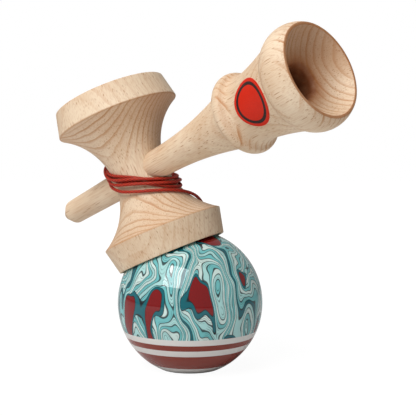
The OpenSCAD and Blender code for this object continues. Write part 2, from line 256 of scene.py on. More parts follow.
def ball_height():
    """Height of the ball's centre: the root of its radius squared less the foot ring's radius squared."""
    ball = settings().ball
    return sqrt((ball.diameter / 2) ** 2 - (ball.foot_d / 2) ** 2)


def cross_frame():
    """Turn and place of the cross-piece: it leans on the ball, shifted to fit the string under its lip."""
    s = settings()
    ball_r = s.ball.diameter / 2
    mouth = s.cross.small_lip_d / 2 - s.cross.lip_w
    gap = (s.cross.lip_room + s.cross.lip_play) / 2
    shift = (s.cross.lip_room - s.cross.lip_play) / 2 * (ball_r + gap) / mouth
    seat = sqrt((ball_r + gap) ** 2 - mouth**2) + s.cross.small_end
    turn = (
        Matrix.Rotation(radians(s.cross.heading), 3, "Z")
        @ Matrix.Rotation(radians(s.cross.lean), 3, "Y")
        @ Matrix.Rotation(radians(s.cross.ken_turn), 3, "Z")
    )
    turn = np.array(turn)
    return turn, np.array([0, 0, ball_height()]) + turn @ np.array([0, shift, seat])


def on_ball(points):
    """Points of the cross-piece's frame, set on the ball."""
    turn, place = cross_frame()
    return points @ turn.T + place


def along_handle(points):
    """Lathe points with their axis along Z, turned so that the axis lies along the cross-piece's X."""
    return np.stack([points[..., 2], points[..., 1], -points[..., 0]], axis=-1)


def label_twist():
    """Turn of the sticker about the handle."""
    return np.array(Matrix.Rotation(radians(settings().handle.label_turn), 3, "X"))


# Curves in a lathe's profile: the first number is the radius and the second the distance along the axis


# Most of a curve that a rounded corner takes, least length it takes, and least distance between points
MOST_CUT, LEAST_CUT, LEAST_STEP = 0.45, 1e-4, 1e-5


def line(start, end, count=2):
    """Points spaced evenly from start to end."""
    return np.linspace(start, end, count)


def arc(centre, radius, start, end, count):
    """Points on a circle about a centre, from one angle to another in degrees."""
    a = np.radians(np.linspace(start, end, count))
    return np.array(centre) + radius * np.stack([np.cos(a), np.sin(a)], axis=-1)


def arc_radius(half_width, height):
    """Radius of the circle that spans a width and rises to a height."""
    return (half_width**2 + height**2) / (2 * height)


def direction(centre, point):
    """Angle in degrees at which a point lies from a centre."""
    return float(np.degrees(np.arctan2(point[1] - centre[1], point[0] - centre[0])))


def run_along(points):
    """Length along a line of points, up to each of them."""
    return np.concatenate([[0], np.cumsum(np.linalg.norm(np.diff(points, axis=0), axis=1))])


def trimmed(curve, cut, at_end):
    """Curve shortened by a length at one end, with its new end point on the curve."""
    curve = curve[::-1] if at_end else curve
    run = run_along(curve)
    cut = min(cut, MOST_CUT * run[-1])
    first = np.array([np.interp(cut, run, curve[:, 0]), np.interp(cut, run, curve[:, 1])])
    kept = np.vstack([first, curve[run > cut]])
    return kept[::-1] if at_end else kept


def joined(curves, rounds, closed=False):
    """One profile from curves that meet at corners, each rounded by a parabola of about the given radius."""
    curves = [np.asarray(c, float) for c in curves]
    bends = []
    for i, radius in enumerate(rounds):
        before, after = curves[i], curves[(i + 1) % len(curves)]
        corner = before[-1]
        into = before[-1] - before[-2]
        out = after[1] - after[0]
        cosine = np.clip(into @ out / np.linalg.norm(into) / np.linalg.norm(out), -1, 1)
        cut = radius * np.tan(np.arccos(cosine) / 2)
        if cut < LEAST_CUT:
            bends.append(corner[None])
            continue
        curves[i] = trimmed(before, cut, True)
        curves[(i + 1) % len(curves)] = trimmed(after, cut, False)
        t = np.linspace(0, 1, 9)[1:-1, None]
        a, b = curves[i][-1], curves[(i + 1) % len(curves)][0]
        bends.append((1 - t) ** 2 * a + 2 * t * (1 - t) * corner + t**2 * b)
    parts = []
    for i, curve in enumerate(curves):
        parts.append(curve)
        if i < len(bends):
            parts.append(bends[i])
    profile = np.vstack(parts)
    step = np.linalg.norm(np.diff(profile, axis=0), axis=1)
    profile = profile[np.concatenate([[True], step > LEAST_STEP])]
    if closed and np.linalg.norm(profile[0] - profile[-1]) < LEAST_STEP:
        profile = profile[:-1]
    return profile


# Meshes


def new_piece(name, points, faces, smooth=True):
    """Object of a closed mesh given in millimetres of the shared frame, with its faces turned outwards."""
    mesh = bpy.data.meshes.new(name)
    mesh.from_pydata((np.asarray(points) * MM).tolist(), [], faces)
    mesh.update()
    work = bmesh.new()
    work.from_mesh(mesh)
    bmesh.ops.recalc_face_normals(work, faces=work.faces)
    work.to_mesh(mesh)
    work.free()
    mesh.polygons.foreach_set("use_smooth", np.full(len(mesh.polygons), smooth))
    piece = bpy.data.objects.new(name, mesh)
    bpy.context.scene.collection.objects.link(piece)
    return piece


def grid_faces(rows, columns, wrap_rows=False, wrap_columns=True):
    """Quads between neighbouring rows and columns of a grid of points, as index quadruples."""
    i = np.arange(rows if wrap_rows else rows - 1)
    j = np.arange(columns if wrap_columns else columns - 1)
    i, j = np.meshgrid(i, j, indexing="ij")
    near, far = (i + 1) % rows, (j + 1) % columns
    corners = [i * columns + j, i * columns + far, near * columns + far, near * columns + j]
    return np.stack(corners, axis=-1).reshape(-1, 4)


def lathe(profile, segments, closed=False):
    """Surface of revolution about Z: a point at radius r and height h turns to (r cos a, r sin a, h).
    A profile that ends on the axis closes there in a fan about one point."""
    a = np.linspace(0, 2 * np.pi, segments, endpoint=False)
    r, h = profile[:, 0, None], profile[:, 1, None]
    points = np.stack([r * np.cos(a), r * np.sin(a), h + 0 * a], axis=-1)
    if closed:
        return points.reshape(-1, 3), grid_faces(len(profile), segments, wrap_rows=True).tolist()
    points = points[1:-1].reshape(-1, 3)
    faces = grid_faces(len(profile) - 2, segments)
    first, last = len(points), len(points) + 1
    j = np.arange(segments)
    far = (j + 1) % segments
    top = len(points) - segments
    low = np.stack([np.full(segments, first), j, far], axis=-1)
    high = np.stack([np.full(segments, last), top + far, top + j], axis=-1)
    ends = np.array([[0, 0, profile[0, 1]], [0, 0, profile[-1, 1]]])
    return np.vstack([points, ends]), faces.tolist() + low.tolist() + high.tolist()


def between(u, low, high, a, b):
    """Point as far from a to b as u is from low to high."""
    return (high - u) / (high - low) * a + (u - low) / (high - low) * b


def resampled(points, step):
    """Smooth curve through points, a centripetal Catmull-Rom spline, with new points one step apart."""
    p = np.vstack([2 * points[0] - points[1], points, 2 * points[-1] - points[-2]])
    knots = np.concatenate([[0], np.cumsum(np.sqrt(np.linalg.norm(np.diff(p, axis=0), axis=1)))])
    spans = [np.linspace(knots[i], knots[i + 1], 24, endpoint=False) for i in range(1, len(p) - 2)]
    u = np.concatenate([*spans, knots[-2:-1]])
    k = np.clip(np.searchsorted(knots, u, side="right") - 1, 1, len(p) - 3)
    t = [knots[k + d][:, None] for d in (-1, 0, 1, 2)]
    q = [p[k + d] for d in (-1, 0, 1, 2)]
    u = u[:, None]
    a = [between(u, t[i], t[i + 1], q[i], q[i + 1]) for i in range(3)]
    b = [between(u, t[i], t[i + 2], a[i], a[i + 1]) for i in range(2)]
    fine = between(u, t[1], t[2], *b)
    run = run_along(fine)
    at = np.linspace(0, run[-1], max(4, int(round(run[-1] / step))))
    return np.stack([np.interp(at, run, fine[:, i]) for i in range(3)], axis=-1), at


def carried(side, heading):
    """Side vector carried on to the next heading, kept square to it."""
    side = side - (side @ heading) * heading
    return side / np.linalg.norm(side)


# Plait: a vector to start its sides from, turns along the cord, and its lowest radius and rise as shares
ANY_SIDE = np.array([0.3, 0.5, 0.8])
PLAIT_LAY = 1.1
PLAIT_LOW, PLAIT_RISE = 0.955, 0.09


def plaited_tube(name, path, run, radius, sides=16):
    """Cord along a path: a circle carried square to it, whose radius swells where two opposite spirals cross.
    The UV map has the length along the cord, in diameters, and the turn about it."""
    heading = np.gradient(path, axis=0)
    heading /= np.linalg.norm(heading, axis=1)[:, None]
    start = carried(ANY_SIDE, heading[0])
    u = np.array(list(accumulate(heading[1:], carried, initial=start)))
    v = np.cross(heading, u)
    a = np.linspace(0, 2 * np.pi, sides, endpoint=False)
    lay = run[:, None] / radius * PLAIT_LAY
    plait = np.abs(np.sin(2 * a + lay) * np.sin(2 * a - lay))
    swell = radius * (PLAIT_LOW + PLAIT_RISE * plait)
    round_it = np.cos(a)[:, None] * u[:, None] + np.sin(a)[:, None] * v[:, None]
    points = path[:, None] + swell[..., None] * round_it
    last = (len(path) - 1) * sides
    faces = grid_faces(len(path), sides).tolist()
    faces += [list(range(sides)), list(range(last, last + sides))]
    piece = new_piece(name, points.reshape(-1, 3), faces)
    layer = piece.data.uv_layers.new(name="along")
    corner = np.zeros(len(piece.data.loops), np.int32)
    piece.data.loops.foreach_get("vertex_index", corner)
    ring, place = corner // sides, corner % sides
    uv = np.stack([run[ring] / (2 * radius), np.abs(place / sides - 0.5) * 2], axis=-1)
    layer.data.foreach_set("uv", uv.astype(np.float32).ravel())
    return piece


def cut_by(piece, cutters):
    """Piece with the cutters' solids taken out of it. The cutters are removed afterwards."""
    for cutter in cutters:
        modifier = piece.modifiers.new("cut", "BOOLEAN")
        modifier.operation = "DIFFERENCE"
        modifier.solver = "EXACT"
        modifier.object = cutter
    evaluated = piece.evaluated_get(bpy.context.evaluated_depsgraph_get())
    mesh = bpy.data.meshes.new_from_object(evaluated)
    mesh.name = piece.data.name
    piece.modifiers.clear()
    piece.data = mesh
    for cutter in cutters:
        bpy.data.objects.remove(cutter)
    return piece


def crisp(piece, limit):
    """Smooth shading, apart from edges that turn by more than a limit in degrees."""
    piece.data.polygons.foreach_set("use_smooth", np.full(len(piece.data.polygons), True))
    piece.data.set_sharp_from_angle(angle=radians(limit))


# Material nodes


class Nodes:
    """Short calls that add nodes to one material. A value is a number, a tuple or another node's output."""

    def __init__(self, name):
        self.material = bpy.data.materials.new(name)
        self.material.use_nodes = True
        self.tree = self.material.node_tree
        self.shader = self.tree.nodes["Principled BSDF"]

    def put(self, socket, value):
        if isinstance(value, bpy.types.NodeSocket):
            self.tree.links.new(value, socket)
        elif socket.type == "RGBA":
            socket.default_value = (*value, 1) if len(value) == 3 else value
        else:
            socket.default_value = value

    def add(self, kind, inputs=(), out=0, **attributes):
        node = self.tree.nodes.new(kind)
        for key, value in attributes.items():
            setattr(node, key, value)
        for key, value in dict(inputs).items():
            self.put(node.inputs[key], value)
        return node.outputs[out]

    def place(self, turn, place):
        """Object coordinates in millimetres of a turned frame: the turn's columns are the frame's axes."""
        back = np.asarray(turn).T
        inputs = {
            "Vector": self.add("ShaderNodeTexCoord", out="Object"),
            "Location": tuple(-(back @ np.asarray(place))),
            "Rotation": tuple(Matrix(back.tolist()).to_euler("XYZ")),
            "Scale": (1 / MM,) * 3,
        }
        return self.add("ShaderNodeMapping", inputs)

    def stretch(self, vector, scale):
        return self.add("ShaderNodeVectorMath", {0: vector, 1: scale}, operation="MULTIPLY")

    def shift(self, vector, offset):
        return self.add("ShaderNodeVectorMath", {0: vector, 1: offset}, operation="ADD")

    def size(self, vector):
        return self.add("ShaderNodeVectorMath", {0: vector}, out="Value", operation="LENGTH")

    def dot(self, a, b):
        return self.add("ShaderNodeVectorMath", {0: a, 1: tuple(b)}, out="Value", operation="DOT_PRODUCT")

    def parts(self, vector):
        node = self.tree.nodes.new("ShaderNodeSeparateXYZ")
        self.put(node.inputs[0], vector)
        return node.outputs

    def vector(self, x, y, z):
        return self.add("ShaderNodeCombineXYZ", {0: x, 1: y, 2: z})

    def math(self, operation, a, b=0.0, c=0.0):
        return self.add("ShaderNodeMath", {0: a, 1: b, 2: c}, operation=operation)

    def product(self, *values):
        """All the values multiplied together."""
        return reduce(lambda a, b: self.math("MULTIPLY", a, b), values)

    def apart(self, a, b):
        """Distance between two values."""
        return self.math("ABSOLUTE", self.math("SUBTRACT", a, b))

    def radius(self, x, y):
        """Distance from an axis."""
        return self.size(self.vector(x, y, 0.0))

    def about_nought(self, value, span):
        """Value from nought to one, spread over a span whose middle is nought."""
        return self.math("MULTIPLY_ADD", value, span, -span / 2)

    def ease(self, value, low, high, start=0.0, end=1.0):
        """Smooth step from start to end while the value goes from low to high."""
        inputs = {"Value": value, "From Min": low, "From Max": high, "To Min": start, "To Max": end}
        return self.add("ShaderNodeMapRange", inputs, interpolation_type="SMOOTHSTEP")

    def mix(self, share, a, b, blend="MIX"):
        return self.add("ShaderNodeMix", {0: share, 6: a, 7: b}, out=2, data_type="RGBA", blend_type=blend)

    def noise(self, vector, scale, detail=2.0, rough=0.5, out=0):
        inputs = {"Vector": vector, "Scale": scale, "Detail": detail, "Roughness": rough}
        return self.add("ShaderNodeTexNoise", inputs, out=out)

    def bump(self, height, distance, strength=1.0):
        return self.add("ShaderNodeBump", {"Height": height, "Distance": distance, "Strength": strength})

    def finish(self, **sockets):
        for key, value in sockets.items():
            self.put(self.shader.inputs[key.replace("_", " ")], value)
        return self.material


# Beech: how fibres and flecks are drawn out, and the parts of a year in which late wood darkens and ends
FIBRE = (2.2, 2.2, 0.07)
FLECK_CELL = (1.5, 1.5, 0.1)
LATE_RISE, LATE_FALL = (0.54, 0.92), (0.94, 1.0)
# Cross-piece: heights and places across between which painted shade comes in on the big cup's flare, its share,
# and the ridges' painted shade line with its share
FLARE_PAINTED_SHADE_HEIGHT, FLARE_PAINTED_SHADE_ACROSS, FLARE_PAINTED_SHADE_SHARE = (0.0, 10.0), (2.0, 20.0), 0.42
RIDGE_PAINTED_SHADE_LINE, RIDGE_PAINTED_SHADE_SHARE = (0.15, 0.5), 0.45
# Handle: radii of amber and burnt wood with their raggedness, the bowl's edge with the span and share of its
# painted shade, and the rim's line
AMBER_R, SCORCH_R, SMOKE = (7.0, 12.5), (5.4, 9.2), 3.0
BOWL_R, BOWL_SHADE_X, BOWL_SHADE = 17.6, (-10.0, 8.0), 0.38
RIM_FROM, RIM_FULL = 0.26, 0.08


def beech(name, turn, place, pith, ring, drift, seed):
    """Beech whose fibres run along the frame's Z. Growth rings are cylinders about a pith to one side, which
    drift slowly along the fibres, and each ends in a line of late wood. Fibres are a noise drawn out along Z,
    and flecks are ellipsoids about the middles of cells drawn out the same way. Rings show most on end
    grain."""
    wood = settings().wood
    n = Nodes(name)
    p = n.place(turn, place)
    wander = n.about_nought(n.noise(n.shift(p, (seed, 0, 0)), 0.035), 5.0)
    ripple = n.about_nought(n.noise(n.stretch(p, (1, 1, 0.3)), 0.25), 0.7)
    x, y, z = n.parts(p)
    reach = n.radius(n.math("SUBTRACT", x, pith[0]), n.math("SUBTRACT", y, pith[1]))
    grown = n.math("MULTIPLY_ADD", z, drift, reach)
    grown = n.math("DIVIDE", n.math("ADD", n.math("ADD", grown, wander), ripple), ring)
    season = n.math("FRACT", grown)
    vigour = n.add("ShaderNodeTexWhiteNoise", {"W": n.math("FLOOR", grown)}, noise_dimensions="1D")
    rise = n.ease(season, *LATE_RISE)
    fall = n.ease(season, *LATE_FALL, 1.0, 0.0)
    late = n.product(rise, fall, n.math("MULTIPLY_ADD", vigour, 0.55, 0.4))
    fibre = n.noise(n.stretch(p, FIBRE), 1.0, 2.0, 0.6)
    zone = n.noise(n.shift(p, (0, seed, 0)), 0.06)

    cells = n.tree.nodes.new("ShaderNodeTexVoronoi")
    n.put(cells.inputs["Vector"], n.stretch(n.shift(p, (seed, seed, 0)), FLECK_CELL))
    n.put(cells.inputs["Scale"], 1.0)
    kept = n.ease(n.parts(cells.outputs["Color"])[0], 0.0, 0.8)
    fleck = n.product(n.ease(cells.outputs["Distance"], 0.1, 0.32, 1.0, 0.0), kept)

    end_grain = n.math("ABSOLUTE", n.dot(n.add("ShaderNodeTexCoord", out="Normal"), turn[:, 2]))
    color = n.mix(n.ease(zone, 0.3, 0.7), wood.light, wood.deep)
    color = n.mix(n.ease(fibre, 0.45, 0.7, 0.0, 0.3), color, wood.late)
    color = n.mix(n.ease(end_grain, 0.25, 0.95, 0.0, 0.2), color, wood.late)
    color = n.mix(n.product(late, n.ease(end_grain, 0.1, 0.55, 0.16, 0.9)), color, wood.late)
    color = n.mix(n.product(fleck, 0.8), color, wood.fleck)
    height = n.math("MULTIPLY_ADD", late, 0.12, n.product(fibre, 0.5))
    height = n.math("SUBTRACT", height, n.product(fleck, 0.4))
    n.finish(
        Normal=n.bump(height, 0.06 * MM, 0.5),
        Specular_IOR_Level=0.35,
        Roughness=n.ease(fibre, 0.2, 0.8, 0.5, 0.66),
    )
    return n, p, color


def cross_beech():
    """Beech of the cross-piece, with its fibres along the lathe's axis, painted amber shade on the right of the
    big cup's flare and a painted shade line along both ridges."""
    s = settings()
    wood, cross = s.wood, s.cross
    turn, place = cross_frame()
    n, p, color = beech("beech_cross", turn, place, pith=(-8, 63), ring=2.3, drift=0.06, seed=11.0)
    x, y, z = n.parts(p)
    right = np.append(turn[0, :2] / np.linalg.norm(turn[0, :2]), 0)
    # Painted shade: the right side of the big cup's flare is tinted towards amber
    flared = n.product(n.ease(z, *FLARE_PAINTED_SHADE_HEIGHT), n.math("LESS_THAN", z, cross.big_ridge_h))
    burn_edge_and_painted_shade = n.product(n.ease(n.dot(p, right), *FLARE_PAINTED_SHADE_ACROSS, 0.0, FLARE_PAINTED_SHADE_SHARE), flared)
    color = n.mix(burn_edge_and_painted_shade, color, wood.amber)
    outside = n.math("GREATER_THAN", n.radius(x, y), cross.small_lip_d / 2)
    # Painted shade: a darker line along both ridges, in the colour of late wood
    for height in (cross.big_ridge_h, -cross.small_ridge_h):
        near = n.ease(n.apart(z, height), *RIDGE_PAINTED_SHADE_LINE, RIDGE_PAINTED_SHADE_SHARE, 0.0)
        color = n.mix(n.product(near, outside), color, wood.late)
    return n.finish(Base_Color=color)


def handle_beech():
    """Beech of the handle, with its fibres along the handle, a scorched throat, painted shade on the bowl's
    upper wall and a brown line along the rim."""
    s = settings()
    wood, h = s.wood, s.handle
    turn, place = cross_frame()
    axes = np.stack([-turn[:, 2], turn[:, 1], turn[:, 0]], axis=-1)
    n, p, color = beech("beech_handle", axes, place, pith=(-24, 140), ring=2.5, drift=0.03, seed=37.0)
    x, y, z = n.parts(p)
    out = n.radius(x, y)
    past_neck = n.math("GREATER_THAN", z, h.neck_at)
    smoke = n.math("ADD", out, n.about_nought(n.noise(p, 0.35, 3.0), SMOKE))
    burn_edge_and_painted_shade = n.product(n.ease(smoke, *AMBER_R, 1.0, 0.0), past_neck, 0.75)
    burnt = n.product(n.ease(smoke, *SCORCH_R, 1.0, 0.0), past_neck, 0.95)
    in_bowl = n.product(n.math("GREATER_THAN", z, h.flare_at - 2), n.math("LESS_THAN", out, BOWL_R))
    # Painted shade: the bowl's upper wall is darkened towards amber
    darker = n.product(in_bowl, n.ease(x, *BOWL_SHADE_X, BOWL_SHADE, 0.0))
    rim = n.product(n.ease(z, h.end - RIM_FROM, h.end - RIM_FULL), 0.75)
    for share, tint in ((darker, wood.amber), (burn_edge_and_painted_shade, wood.amber), (burnt, wood.scorch), (rim, wood.amber)):
        color = n.mix(share, color, tint)
    return n.finish(Base_Color=color)


# Lacquer: bands round the ball, levels at which each tint of an island starts, and the stripes' upper edges
BANDS_ROUND = 72
ISLAND_LEVELS, ISLAND_EDGE = (0.586, 0.594, 0.628, 0.636), 0.002
STRIPE_TOPS, STRIPE_EDGE = (-11.05, -13.45, -15.8, -18.3, -24.5), 0.06


def marbled_lacquer():
    """Lacquer of the ball. Upright bands are counted by the angle about the ball's axis and bent by two slow
    noises, and the second one's peaks are red islands inside teal rims. Thin ink lines part the bands, finer
    ones hatch some of them, and stripes ring the foot."""
    ball = settings().ball
    n = Nodes("marbled_lacquer")
    p = n.place(np.eye(3), (0, 0, ball_height()))
    x, y, z = n.parts(p)
    flow = n.stretch(p, (1, 1, 0.42))
    curl = n.shift(n.noise(flow, 0.1, 1.0, out=1), (-0.5, -0.5, -0.5))
    flow = n.shift(flow, n.stretch(curl, (11, 11, 9)))
    sway = n.noise(flow, 0.06, 1.0)
    hill = n.noise(n.shift(flow, (41, 17, 5)), 0.1, 0.0)
    turned = n.product(n.math("ARCTAN2", y, x), BANDS_ROUND / (2 * pi))
    level = n.math("MULTIPLY_ADD", hill, 14.0, n.math("MULTIPLY_ADD", sway, 18.0, turned))

    bands = (ball.pale, ball.mist, ball.aqua, ball.pale, ball.aqua, ball.mist)
    bands += (ball.pale, ball.teal, ball.aqua, ball.pale, ball.mist, ball.aqua)
    ramp = n.tree.nodes.new("ShaderNodeValToRGB")
    ramp.color_ramp.interpolation = "CONSTANT"
    stops = ramp.color_ramp.elements
    for i, band in enumerate(bands):
        stop = stops[i] if i < 2 else stops.new(i / len(bands))
        stop.position = i / len(bands)
        stop.color = (*band, 1)
    n.put(ramp.inputs[0], n.math("FRACT", n.math("DIVIDE", level, float(len(bands)))))
    edge = n.ease(n.math("PINGPONG", level, 0.5), 0.07, 0.16, 1.0, 0.0)
    hatch = n.ease(n.math("PINGPONG", n.product(level, 3.0), 0.5), 0.06, 0.18, 1.0, 0.0)
    veil = n.ease(n.noise(p, 0.14), 0.42, 0.56)
    inked = n.product(n.math("MAXIMUM", edge, n.product(hatch, veil, 0.7)), 0.9)
    color = n.mix(inked, ramp.outputs[0], ball.ink)
    for height, tint in zip(ISLAND_LEVELS, (ball.ink, ball.teal, ball.ink, ball.island)):
        color = n.mix(n.ease(hill, height - ISLAND_EDGE, height + ISLAND_EDGE), color, tint)
    for top, tint in zip(STRIPE_TOPS, (ball.white, ball.stripe, ball.white, ball.stripe, ball.white)):
        color = n.mix(n.ease(z, top - STRIPE_EDGE, top + STRIPE_EDGE, 1.0, 0.0), color, tint)
    return n.finish(
        Base_Color=color,
        Roughness=0.35,
        Specular_IOR_Level=0.0,
        Coat_Weight=0.9,
        Coat_Roughness=0.04,
        Normal=n.bump(n.noise(p, 0.5), 0.03 * MM, 0.25),
    )


def bead_wood():
    """Plain close-grained wood of the bead: a noise drawn out along the bead's hole."""
    stain = settings().bead.stain
    n = Nodes("bead_wood")
    grain = n.noise(n.stretch(n.place(np.eye(3), (0, 0, 0)), (2.2, 2.2, 0.25)), 1.0, 3.0)
    return n.finish(
        Base_Color=n.mix(n.ease(grain, 0.3, 0.7), stain, tuple(0.6 * c for c in stain)),
        Normal=n.bump(grain, 0.05 * MM, 0.4),
        Roughness=n.ease(grain, 0.2, 0.8, 0.4, 0.52),
    )


def plaited_cord():
    """Waxed cord: light on the plaits' crowns, with painted shade in the hollows between the two spirals."""
    cord = settings().cord
    n = Nodes("plaited_cord")
    along, about, _ = n.parts(n.add("ShaderNodeUVMap", uv_map="along"))
    lay = n.product(along, 2 * PLAIT_LAY)
    spiral = n.product(about, 2 * pi)
    one = n.math("SINE", n.math("ADD", spiral, lay))
    two = n.math("SINE", n.math("SUBTRACT", spiral, lay))
    crown = n.math("ABSOLUTE", n.product(one, two))
    fibre = n.noise(n.vector(n.product(along, 1.5), n.product(about, 9.0), 0.0), 3.0, 3.0)
    # Painted shade: the red gives way to the shade colour in the hollows between the plaits
    share = n.product(n.ease(crown, 0.0, 0.55), n.ease(fibre, 0.25, 0.6, 0.55, 1.0))
    return n.finish(
        Base_Color=n.mix(share, cord.shade, cord.red),
        Normal=n.bump(n.math("ADD", crown, fibre), 0.05 * MM, 0.5),
        Roughness=0.55,
        Specular_IOR_Level=0.25,
    )


# Sticker: the ring's radius as a share of the sticker's, and the distances from it over which it fades
RING_SHARE, RING_HALF = 0.8, (0.52, 0.64)


def sticker_film():
    """Printed film of the sticker: red with one thin dark ring, and a faint grain in its gloss."""
    h = settings().handle
    turn, place = cross_frame()
    n = Nodes("sticker_film")
    p = n.place(turn @ label_twist(), place)
    x, _, z = n.parts(p)
    out = n.radius(n.math("SUBTRACT", x, h.label_at), z)
    ring = n.ease(n.apart(out, RING_SHARE * h.label_d / 2), *RING_HALF, 1.0, 0.0)
    grain = n.noise(p, 3.0)
    red = n.mix(n.ease(grain, 0.3, 0.7, 0.0, 0.12), h.label_red, h.label_ring)
    return n.finish(
        Base_Color=n.mix(ring, red, h.label_ring),
        Roughness=0.42,
        Specular_IOR_Level=0.15,
        Normal=n.bump(grain, 0.01 * MM, 0.3),
    )


# Profiles


def groove_radius(z):
    """Radius of the waist at a distance along its axis: the hollow of one circle below, of another above."""
    c = settings().cross
    waist = c.waist_d / 2
    low = arc_radius(c.small_ridge_h, c.small_ridge_d / 2 - waist)
    high = arc_radius(c.big_ridge_h, c.big_ridge_d / 2 - waist)
    bow = np.where(z < 0, low, high)
    return waist + bow - np.sqrt(bow**2 - z**2)


def cross_profile():
    """Outline of the cross-piece from the small cup's bottom, over both ridges, to the big cup's bottom."""
    c = settings().cross
    waist = c.waist_d / 2
    curves = []
    for sign, ridge_d, ridge_h, lip_d, end in (
        (-1, c.small_ridge_d, c.small_ridge_h, c.small_lip_d, c.small_end),
        (1, c.big_ridge_d, c.big_ridge_h, c.big_lip_d, c.big_end),
    ):
        mouth = lip_d / 2 - c.lip_w
        bowl = arc_radius(mouth, c.cup_depth)
        middle = np.array([0, end - c.cup_depth + bowl])
        cup = arc(middle, bowl, -90, direction(middle, (mouth, end)), 40)
        lip = line((mouth, end), (lip_d / 2, end))
        band = line((lip_d / 2, end), (ridge_d / 2, ridge_h), 12)
        bow = arc_radius(ridge_h, ridge_d / 2 - waist)
        hollow_at = np.array([waist + bow, 0])
        hollow = arc(hollow_at, bow, direction(hollow_at, (ridge_d / 2, ridge_h)), 180, 70)
        curves.append([part * np.array([1, sign]) for part in (cup, lip, band, hollow)])
    low, high = curves
    rounds = [0.3, 0.35, 0.5, 0, 0.5, 0.35, 0.3]
    return joined(low + [part[::-1] for part in high[::-1]], rounds)


def flare_centre():
    """Centre of the flare's circle, which passes through the neck and the flare's end."""
    h = settings().handle
    neck = np.array([h.neck_d / 2, h.neck_at])
    flare = np.array([h.flare_d / 2, h.flare_at])
    chord = flare - neck
    out = np.array([chord[1], -chord[0]]) / np.linalg.norm(chord)
    return (neck + flare) / 2 + out * sqrt(h.flare_round**2 - (np.linalg.norm(chord) / 2) ** 2)


def flare_radius(t):
    """Radius of the flare at a distance along the handle."""
    middle = flare_centre()
    return middle[0] - np.sqrt(settings().handle.flare_round ** 2 - (t - middle[1]) ** 2)


def handle_profile():
    """Outline of the handle from the spike's tip, over collar and base cup's rim, to the throat's point."""
    h = settings().handle
    dome_at = np.array([0, h.dome_r - h.spike_reach])
    tip = np.array([h.tip_d / 2, dome_at[1] - sqrt(h.dome_r**2 - (h.tip_d / 2) ** 2)])
    dome = arc(dome_at, h.dome_r, -90, direction(dome_at, tip), 12)
    bevel = line(tip, (h.spike_d / 2, h.tip_l - h.spike_reach), 6)
    taper = line(bevel[-1], (h.grip_d / 2, h.grip_at), 40)

    swell_l = h.collar_at - h.collar_round - h.grip_at
    bow = arc_radius(swell_l, (h.handle_d - h.grip_d) / 2)
    bow_at = np.array([h.grip_d / 2 + bow, h.grip_at])
    collar_at = np.array([h.collar_d / 2 - h.collar_round, h.collar_at])
    drop = sqrt(h.collar_round**2 - (h.handle_d / 2 - collar_at[0]) ** 2)
    foot = np.array([h.handle_d / 2, h.collar_at - drop])
    swell = arc(bow_at, bow, 180, direction(bow_at, foot) % 360, 40)
    swell[-1] = foot
    t = np.linspace(h.collar_at, h.base_at, 4000)
    flare_r = flare_radius(t)
    crown = collar_at[0] + np.sqrt(np.maximum(h.collar_round**2 - (t - h.collar_at) ** 2, 0))
    leave = t[np.argmax(crown < flare_r)]
    bulge_at = np.array([h.base_d / 2 - h.base_round, h.base_at])
    bulge_r = bulge_at[0] + np.sqrt(np.maximum(h.base_round**2 - (t - h.base_at) ** 2, 0))
    meet = t[len(t) - 1 - np.argmax((bulge_r < flare_r)[::-1])]
    neck = np.array([flare_radius(leave), leave])
    collar = arc(collar_at, h.collar_round, direction(collar_at, foot), direction(collar_at, neck), 36)
    run = np.linspace(leave, meet, 40)
    flare = np.stack([flare_radius(run), run], axis=-1)
    rim_r = bulge_at[0] + sqrt(h.base_round**2 - (h.end - h.base_at) ** 2)
    rim = (rim_r, h.end)
    bulge = arc(bulge_at, h.base_round, direction(bulge_at, flare[-1]), direction(bulge_at, rim), 30)

    mouth = rim_r - h.lip_w
    bowl = arc_radius(mouth, h.cup_depth)
    bowl_at = np.array([0, h.end - h.cup_depth + bowl])
    throat = h.throat_d / 2
    roll_x = throat + h.throat_round
    roll_at = np.array([roll_x, bowl_at[1] - sqrt((bowl + h.throat_round) ** 2 - roll_x**2)])
    rolled = roll_at + h.throat_round * (bowl_at - roll_at) / (bowl + h.throat_round)
    lip = line(rim, (mouth, h.end))
    cup = arc(bowl_at, bowl, direction(bowl_at, (mouth, h.end)), direction(bowl_at, rolled), 30)
    roll = arc(roll_at, h.throat_round, direction(roll_at, rolled), 180, 12)
    wall = line((throat, roll_at[1]), (throat, h.end - h.throat_depth), 12)
    point = line(wall[-1], (0, wall[-1][1] - h.throat_point), 6)
    curves = [dome, bevel, taper, swell, collar, flare, bulge, lip, cup, roll, wall, point]
    rounds = [0.3, 0.4, 0, 0.35, 2.6, 0.8, 0.25, 0.25, 0, 0, 0.3]
    return joined(curves, rounds)


def ball_profile():
    """Closed outline of the ball: over its outside, across the foot ring, and up through its holes."""
    b = settings().ball
    r, height = b.diameter / 2, ball_height()
    middle = np.array([0, height])
    mouth = b.string_hole_d / 2
    top = (mouth, height + sqrt(r**2 - mouth**2))
    foot = (b.foot_d / 2, 0)
    ceiling = height + r - b.top_wall
    hole, pocket = b.hole_d / 2, b.pocket_d / 2
    outside = arc(middle, r, direction(middle, top), direction(middle, foot), 120)
    ring = line(foot, (hole + b.bevel, 0))
    bevel = line(ring[-1], (hole, b.bevel))
    bore = line(bevel[-1], (hole, b.hole_h), 12)
    cone = line(bore[-1], (pocket, b.hole_h + b.cone_l), 4)
    side = line(cone[-1], (pocket, ceiling), 8)
    roof = line(side[-1], (mouth, ceiling), 3)
    neck = line(roof[-1], top, 8)
    curves = [outside, ring, bevel, bore, cone, side, roof, neck]
    rounds = [0.3, 0.15, 0.25, 0.4, 0.4, 0.5, 0.2, 0.6]
    return joined(curves, rounds, closed=True)


